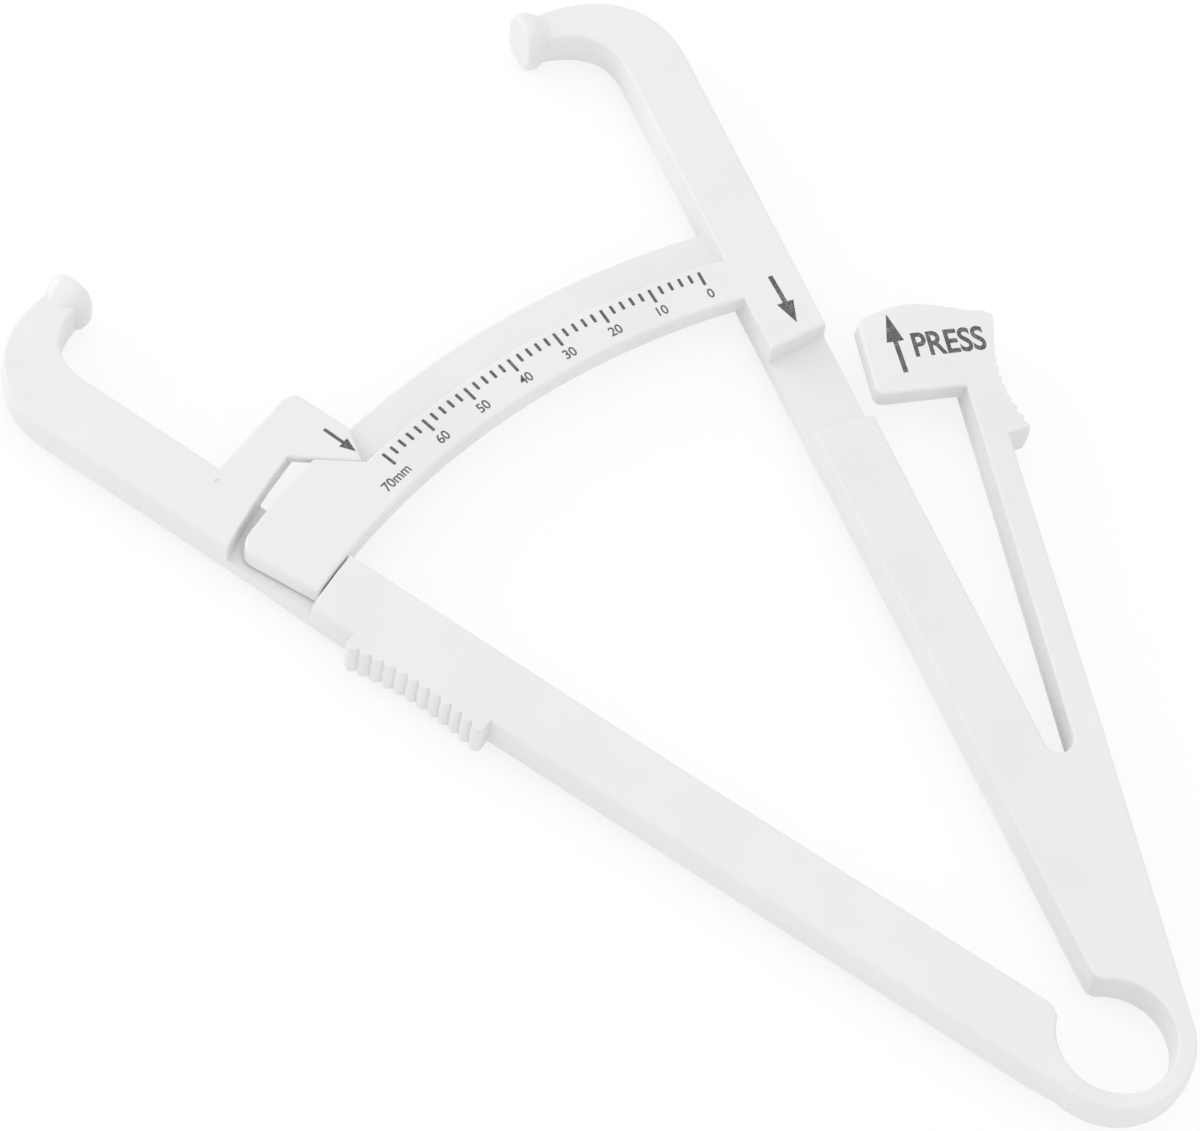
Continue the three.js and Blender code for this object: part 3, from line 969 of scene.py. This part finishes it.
# %% Arrows and word
BOLD_HEAD = 2.35  # width of an arrow's head
BOLD_SHAFT = 0.65

fixed_ink = bmesh.new()
ink_plate(fixed_ink, arrow((35.02, 106.69), (33.21, 99.21), 3.35, BOLD_HEAD, BOLD_SHAFT))
fixed_arrow_print = print_piece(fixed_ink, "fixed_arrow_print")

pointer_ink = bmesh.new()
ink_plate(pointer_ink, arrow((-26.31, 120.6), (-25.03, 115.77), 2.0, 1.6, 0.45))
pointer_print = print_piece(pointer_ink, "pointer_arrow_print")

press_ink = bmesh.new()
ink_plate(press_ink, arrow(on_lever(52.77, 10.85), on_lever(61.89, 11.27), 4.3, BOLD_HEAD, BOLD_SHAFT))
word_width = letter(press_ink, "PRESS", on_lever(56.75, 4.15), 90 - LEVER_TILT, 3.75, 0.77, 0.022)
print("the word is", round(word_width, 2), "mm wide")
press_print = print_piece(press_ink, "press_print")

# %% [markdown]
# ## The look of moulded plastic
# Polypropylene is never one flat white. It has broad, faint clouds from the way it flowed into the mould, a
# fine grain from the mould's steel, and a few hairline scratches from use. One node group makes these three
# and gives a colour, a roughness and a height, which every white moulding uses with its own values.

# %% Node helpers
def new_group(name, inputs, outputs):
    group = bpy.data.node_groups.new(name, "ShaderNodeTree")
    for label, kind, value in inputs:
        socket = group.interface.new_socket(label, in_out="INPUT", socket_type=kind)
        socket.default_value = value
    for label, kind in outputs:
        group.interface.new_socket(label, in_out="OUTPUT", socket_type=kind)
    return group


def node(tree, kind, inputs=(), **settings):
    """Makes a node; an input that is another node's socket is linked, any other value is set."""
    made = tree.nodes.new(kind)
    for key, value in settings.items():
        setattr(made, key, value)
    for key, value in dict(inputs).items():
        if isinstance(value, bpy.types.NodeSocket):
            tree.links.new(value, made.inputs[key])
        else:
            made.inputs[key].default_value = value
    return made


def spots(tree, place, per_metre, detail=2.0, stretch=(1, 1, 1), turn=0.0):
    """Noise over the surface, as a value round 0.5."""
    mapping = node(tree, "ShaderNodeMapping", {
        "Vector": place, "Scale": stretch, "Rotation": (0, 0, math.radians(turn)),
    })
    noise = node(tree, "ShaderNodeTexNoise", {
        "Vector": mapping.outputs["Vector"], "Scale": per_metre, "Detail": detail,
    })
    return noise.outputs["Fac"]


def spread(tree, value, low, high, out_low=0.0, out_high=1.0):
    """Spreads the values between low and high over a range of their own."""
    ranged = node(tree, "ShaderNodeMapRange", {
        "Value": value, "From Min": low, "From Max": high, "To Min": out_low, "To Max": out_high,
    }, clamp=True)
    return ranged.outputs["Result"]


def maths(tree, operation, first, second):
    return node(tree, "ShaderNodeMath", {0: first, 1: second}, operation=operation).outputs[0]


def blend_colours(tree, factor, first, second):
    """A mix of two colours; the node keeps its colour sockets at places 6, 7 and 2."""
    mix = node(tree, "ShaderNodeMix", {0: factor, 6: first, 7: second}, data_type="RGBA")
    return mix.outputs[2]


print("noise is laid out in metres on the piece")

# %% Node group: moulded surface
CLOUDS = 70  # to the metre
GRAIN = 2600
LONG_HAIRS = 900
CROSS_HAIRS = 800
moulded_surface = new_group(
    "moulded surface",
    [
        ("Plastic", "NodeSocketColor", (0.83, 0.83, 0.825, 1)),
        ("Clouded Plastic", "NodeSocketColor", (0.80, 0.80, 0.795, 1)),
        ("Polish", "NodeSocketFloat", 0.4),
        ("Grain", "NodeSocketFloat", 1.0),
        ("Scratches", "NodeSocketFloat", 1.0),
    ],
    [("Color", "NodeSocketColor"), ("Roughness", "NodeSocketFloat"), ("Height", "NodeSocketFloat")],
)
entry = moulded_surface.nodes.new("NodeGroupInput")
leave = moulded_surface.nodes.new("NodeGroupOutput")
place = moulded_surface.nodes.new("ShaderNodeTexCoord").outputs["Object"]
clouds = spread(moulded_surface, spots(moulded_surface, place, CLOUDS, 3), 0.35, 0.7)
grain = spots(moulded_surface, place, GRAIN, 3)
hairs = maths(
    moulded_surface, "MAXIMUM",
    spread(moulded_surface, spots(moulded_surface, place, LONG_HAIRS, 1, (1, 0.02, 1), 24), 0.71, 0.74),
    spread(moulded_surface, spots(moulded_surface, place, CROSS_HAIRS, 1, (0.02, 1, 1), 8), 0.72, 0.75),
)
marks = maths(moulded_surface, "MULTIPLY", hairs, entry.outputs["Scratches"])
colour = blend_colours(moulded_surface, clouds, entry.outputs["Plastic"], entry.outputs["Clouded Plastic"])
moulded_surface.links.new(colour, leave.inputs["Color"])
unevenness = spread(moulded_surface, grain, 0.3, 0.7, -0.05, 0.05)
grainy = maths(moulded_surface, "MULTIPLY", unevenness, entry.outputs["Grain"])
cloudy = spread(moulded_surface, clouds, 0, 1, -0.03, 0.03)
scuffed = maths(moulded_surface, "MULTIPLY", marks, 0.12)
rough = maths(moulded_surface, "ADD", entry.outputs["Polish"], grainy)
rough = maths(moulded_surface, "ADD", rough, cloudy)
rough = maths(moulded_surface, "ADD", rough, scuffed)
moulded_surface.links.new(rough, leave.inputs["Roughness"])
height = maths(moulded_surface, "MULTIPLY", grain, entry.outputs["Grain"])
scored = maths(moulded_surface, "MULTIPLY", marks, 0.6)
height = maths(moulded_surface, "SUBTRACT", height, scored)
moulded_surface.links.new(height, leave.inputs["Height"])
print("moulded surface:", len(moulded_surface.nodes), "nodes")

# %% [markdown]
# ## The white plastic
# The material itself is a Principled shader fed by the group. The bump is a few hundredths of a millimetre
# deep, enough to break up a reflection without showing as a texture.

# %% Material: white polypropylene
POLYPROPYLENE_IOR = 1.49


def finish(name):
    """A new material, its node tree and its shader."""
    material = bpy.data.materials.new(name)
    material.use_nodes = True
    tree = material.node_tree
    return material, tree, tree.nodes["Principled BSDF"]


def white_plastic(name, polish, grain, scratches):
    material, tree, plastic = finish(name)
    surface = node(tree, "ShaderNodeGroup", {
        "Polish": polish, "Grain": grain, "Scratches": scratches,
    }, node_tree=moulded_surface)
    bump = node(tree, "ShaderNodeBump", {
        "Strength": 0.35, "Distance": 0.00002, "Height": surface.outputs["Height"],
    })
    tree.links.new(surface.outputs["Color"], plastic.inputs["Base Color"])
    tree.links.new(surface.outputs["Roughness"], plastic.inputs["Roughness"])
    tree.links.new(bump.outputs["Normal"], plastic.inputs["Normal"])
    plastic.inputs["IOR"].default_value = POLYPROPYLENE_IOR
    return material


arm_plastic = white_plastic("white polypropylene", polish=0.40, grain=1.0, scratches=1.0)
pad_plastic = white_plastic("white polypropylene, worn smooth", polish=0.34, grain=0.6, scratches=1.4)
print("plastics", arm_plastic.name, "and", pad_plastic.name)

# %% [markdown]
# ## The ink
# Pad-printed ink on a waxy plastic never covers fully. It is a soft dark grey with lighter specks where the
# film broke, so the ink has its own group: two scales of noise pick the specks.

# %% Node group: printed ink
FINE_SPECKS = 5200  # to the metre
BROAD_SPECKS = 900
printed_ink = new_group(
    "printed ink",
    [
        ("Ink", "NodeSocketColor", (0.1, 0.1, 0.1, 1)),
        ("Thin Ink", "NodeSocketColor", (0.35, 0.35, 0.35, 1)),
        ("Specks", "NodeSocketFloat", 0.5),
    ],
    [("Color", "NodeSocketColor"), ("Roughness", "NodeSocketFloat")],
)
entry = printed_ink.nodes.new("NodeGroupInput")
leave = printed_ink.nodes.new("NodeGroupOutput")
place = printed_ink.nodes.new("ShaderNodeTexCoord").outputs["Object"]
fine = spread(printed_ink, spots(printed_ink, place, FINE_SPECKS, 2), 0.46, 0.66)
broad = spread(printed_ink, spots(printed_ink, place, BROAD_SPECKS, 2), 0.4, 0.7, 0.25, 1.0)
broken = maths(printed_ink, "MULTIPLY", fine, broad)
specks = maths(printed_ink, "MULTIPLY", broken, entry.outputs["Specks"])
colour = blend_colours(printed_ink, specks, entry.outputs["Ink"], entry.outputs["Thin Ink"])
printed_ink.links.new(colour, leave.inputs["Color"])
printed_ink.links.new(spread(printed_ink, fine, 0, 1, 0.45, 0.6), leave.inputs["Roughness"])
print("printed ink:", len(printed_ink.nodes), "nodes")


# %% Materials: grey inks
def ink(name, colour, thin, specks):
    material, tree, film = finish(name)
    surface = node(tree, "ShaderNodeGroup", {
        "Ink": (*colour, 1), "Thin Ink": (*thin, 1), "Specks": specks,
    }, node_tree=printed_ink)
    tree.links.new(surface.outputs["Color"], film.inputs["Base Color"])
    tree.links.new(surface.outputs["Roughness"], film.inputs["Roughness"])
    return material


scale_grey = ink("grey scale ink", (0.08, 0.08, 0.085), (0.4, 0.4, 0.4), 0.6)
bold_grey = ink("grey ink of words and arrows", (0.07, 0.07, 0.075), (0.45, 0.45, 0.45), 0.8)
print("inks", scale_grey.name, "and", bold_grey.name)

# %% [markdown]
# ## What moves with what
# Each moulding stands for the imported nodes of its own body, and rides on it. In the real caliper the ring
# bends from one arm to the other across the arms' hinge, and the lever's blade over its lowest 38 mm, from the
# heel to just below the catch; here both are only baked into the frame, and the imported nodes they replace
# are hidden. Ink rides with the plastic below it.

# %% Rigid pieces
RIGID = (
    (scale_arm, "scale_arm", (
        "scale_arm_heel", "scale_arm_beam", "scale_arm_seat", "scale_arm_upper", "scale_jaw_hook",
        "scale_arc_band", "scale_arc_ledge", "scale_stop_tab",
    )),
    (index_arm, "index_arm", (
        "index_arm_beam", "finger_grip", "index_arm_bridge", "index_arm_upper", "index_jaw_hook",
        "index_bracket", "index_pointer",
    )),
    (scale_pad, "scale_arm", ("scale_jaw_pad",)),
    (index_pad, "index_arm", ("index_jaw_pad",)),
)
for moulding, body, nodes in RIGID:
    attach(moulding, body)
    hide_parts(*nodes)
    print(moulding.name, "rides on", body, "and replaces", len(nodes), "of the packed nodes")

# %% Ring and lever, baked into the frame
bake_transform(ring)
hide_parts("hinge_ring")

blade_foot = in_frame(*on_lever(0.05, LEVER_WIDTH / 2))
blade_end = in_frame(*on_lever(BLADE_BEND, LEVER_WIDTH / 2))
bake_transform(lever)
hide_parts("lever_beam", "lever_neck", "thumb_grip", "lever_catch", "press_head")
print("the blade bends over", BLADE_BEND, "mm")

# %% Ink and finishes
for print_on_it, body in (
    (scale_print, "scale_arm"), (fixed_arrow_print, "scale_arm"),
    (pointer_print, "index_arm"), (press_print, "press_lever"),
):
    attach(print_on_it, body)
    print(print_on_it.name, "rides on", body)

for piece in (scale_arm, index_arm, ring, lever):
    piece.data.materials.append(arm_plastic)
for piece in (scale_pad, index_pad):
    piece.data.materials.append(pad_plastic)
scale_print.data.materials.append(scale_grey)
for piece in (fixed_arrow_print, pointer_print, press_print):
    piece.data.materials.append(bold_grey)

# %% [markdown]
# ## The camera
# The camera stands where the picture was taken from: a long lens, above and to the left of the ring. Its
# place, turn and lens were fitted to the picture, so that the outlines fall where they lie in it.

# %% Camera
camera = bpy.data.objects.new("camera", bpy.data.cameras.new("camera"))
bpy.context.scene.collection.objects.link(camera)
bpy.context.scene.camera = camera
camera.location = in_frame(-213.880, -84.684, 424.093)
camera.rotation_euler = [math.radians(a) for a in (31.6832, -6.7822, -39.2228)]
camera.data.lens = 121.8326
camera.data.sensor_width = 36
camera.data.clip_start = 0.01
bpy.context.scene.view_settings.view_transform = "Standard"
print("lens", round(camera.data.lens, 1), "mm")

# %% [markdown]
# ## A white floor that keeps the shadow
# Such a picture is taken on white paper. More light would bleach the caliper along with it, so the paper
# glows only where it is looked at, which the Light Path node can tell from light that bounces. The rest of
# its white is its own colour, and that part still shows the soft shadow.

# %% Floor
FLOOR_HALF = 2.0
FLOOR_LEVEL = -0.0004  # a hair below the pads' rims
corner_signs = ((-1, -1), (1, -1), (1, 1), (-1, 1))
shape = bmesh.new()
shape.faces.new([shape.verts.new((x * FLOOR_HALF, y * FLOOR_HALF, FLOOR_LEVEL)) for x, y in corner_signs])
floor = piece_from(shape, "floor")
print("floor", 2 * FLOOR_HALF, "m wide")

# %% Paper of the floor
PAPER_WHITE = 0.96  # for light that bounces off it
PAPER_SEEN = 0.22  # where it is looked at; the glow adds the rest of the white
PAPER_GLOW = 0.78


def seen_directly(tree):
    """1 for the camera's view, also by way of metal or glass, and 0 for light that bounces."""
    rays = tree.nodes.new("ShaderNodeLightPath").outputs
    direct = maths(tree, "MAXIMUM", rays["Is Camera Ray"], rays["Is Glossy Ray"])
    return maths(tree, "MAXIMUM", direct, rays["Is Transmission Ray"])


paper, tree, sheet = finish("white paper floor")
sheet.inputs["Roughness"].default_value = 0.95
sheet.inputs["Specular IOR Level"].default_value = 0.0
sheet.inputs["Emission Color"].default_value = (1, 1, 1, 1)
direct = seen_directly(tree)
tree.links.new(maths(tree, "MULTIPLY", direct, PAPER_GLOW), sheet.inputs["Emission Strength"])
darker = maths(tree, "MULTIPLY", direct, PAPER_WHITE - PAPER_SEEN)
tree.links.new(maths(tree, "SUBTRACT", PAPER_WHITE, darker), sheet.inputs["Base Color"])
floor.data.materials.append(paper)
print("paper", PAPER_WHITE, "white, with a glow of", PAPER_GLOW, "where it is looked at")

# %% [markdown]
# ## Light tent and lamps
# Light comes from all round, as in a light tent, with a broad lamp overhead that lets the rounded edges
# catch a little shine, and a low one beyond the jaws, without which the walls would be too dark beside the
# tops.

# %% Light tent
TENT_LIGHT = 0.95
tent = bpy.data.worlds.new("light tent")
bpy.context.scene.world = tent
tent.use_nodes = True
tree = tent.node_tree
light = tree.nodes["Background"]
light.inputs["Color"].default_value = (1, 1, 1, 1)
tent_seen = maths(tree, "MULTIPLY", seen_directly(tree), 1 - TENT_LIGHT)
tree.links.new(maths(tree, "ADD", tent_seen, TENT_LIGHT), light.inputs["Strength"])
print("the tent gives", TENT_LIGHT, "and looks white")


# %% Lamps
def disk_lamp(name, size, energy, location):
    """A round lamp, aimed at the middle of the object."""
    lamp = bpy.data.objects.new(name, bpy.data.lights.new(name, "AREA"))
    bpy.context.scene.collection.objects.link(lamp)
    lamp.data.shape = "DISK"
    lamp.data.size = size
    lamp.data.energy = energy
    lamp.location = location
    lamp.rotation_euler = (Vector((0, 0, 0)) - lamp.location).to_track_quat("-Z", "Y").to_euler()
    print(name, energy, "W")


disk_lamp("broad lamp overhead", size=0.8, energy=0.28, location=(0, 0, 0.95))
disk_lamp("low lamp for the walls", size=0.5, energy=1.5, location=(-0.35, 0.8, 0.3))

# %% [markdown]
# ## The finish
# The scene is brought up to date.

# %% The finish
bpy.context.view_layer.update()
